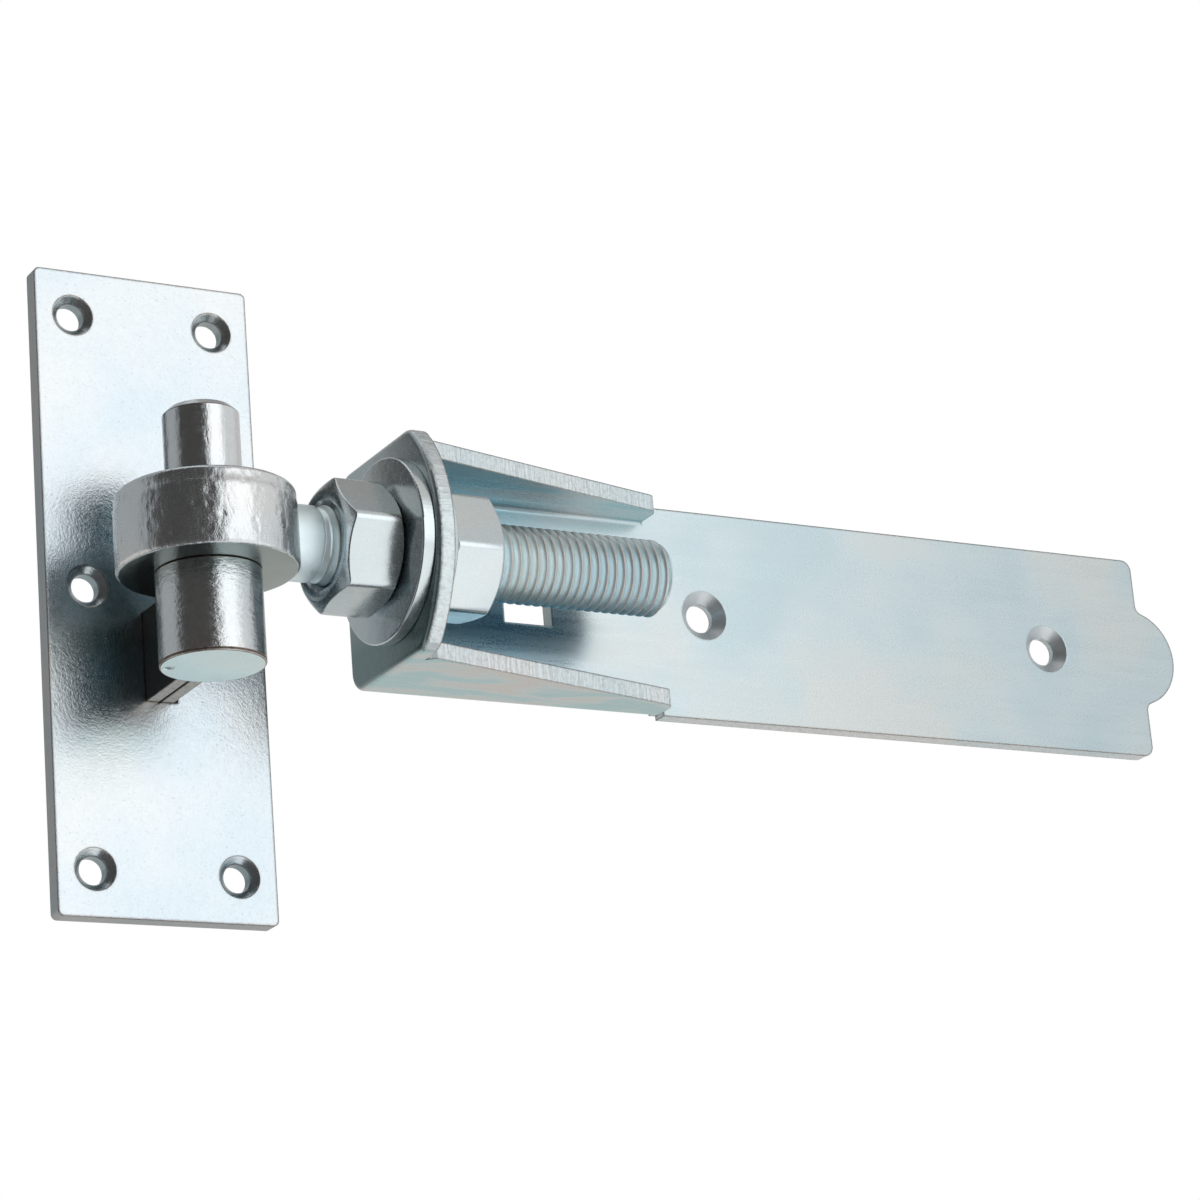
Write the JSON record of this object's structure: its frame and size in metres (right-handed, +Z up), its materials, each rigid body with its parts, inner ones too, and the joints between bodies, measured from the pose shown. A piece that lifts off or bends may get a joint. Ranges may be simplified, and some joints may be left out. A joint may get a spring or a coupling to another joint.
{
  "type": "adjustable gate hinge",
  "caption": "Adjustable gate hinge: a screw-on wall plate carries an upright hook pin, and an eye bolt that swings on it clamps a long folded strap between nuts and washers.",
  "frame": {"origin": "centre of the wall plate's back face, which lies against the post", "axes": "+X runs along the strap away from the pin, +Y points into the post, +Z is up along the pin"},
  "size_m": [0.3385, 0.062, 0.168],
  "materials": {
    "zinc_sheet": "bright zinc plate on rolled sheet, satin",
    "zinc_forging": "bright zinc plate on a forging, semi-gloss",
    "zinc_fastener": "bright zinc plate on machined steel, semi-gloss"
  },
  "bodies": {
    "wall_plate": {"wall_plate": "zinc_sheet", "hook_pin": "zinc_forging", "pin_sleeve": "zinc_forging"},
    "eye_bolt": {"eye_bolt": "zinc_forging"},
    "strap": {"strap": "zinc_sheet", "front_washer": "zinc_fastener", "rear_washer": "zinc_fastener"},
    "front_nut": {"front_nut": "zinc_fastener"},
    "rear_nut": {"rear_nut": "zinc_fastener"}
  },
  "joints": [
    {"name": "eye_swing", "type": "hinge", "parent": "wall_plate", "child": "eye_bolt", "pos_m": [0, -0.037, 0.0046], "axis": [0, 0, 1], "range_deg": [-200, 20]},
    {"name": "strap_adjust", "type": "slide", "parent": "eye_bolt", "child": "strap", "axis": [1, 0, 0], "range_m": [-0.005, 0.045]},
    {"name": "front_nut_turn", "type": "hinge", "parent": "strap", "child": "front_nut", "pos_m": [0.0387, -0.037, 0.0046], "axis": [1, 0, 0], "range_deg": [-720, 6480]},
    {"name": "rear_nut_turn", "type": "hinge", "parent": "strap", "child": "rear_nut", "pos_m": [0.0665, -0.037, 0.0046], "axis": [1, 0, 0], "range_deg": [-720, 6480]}
  ],
  "couplings": [
    {"joint": "front_nut_turn", "follows": "strap_adjust", "rad_per_m": 2513.3},
    {"joint": "rear_nut_turn", "follows": "strap_adjust", "rad_per_m": 2513.3}
  ]
}
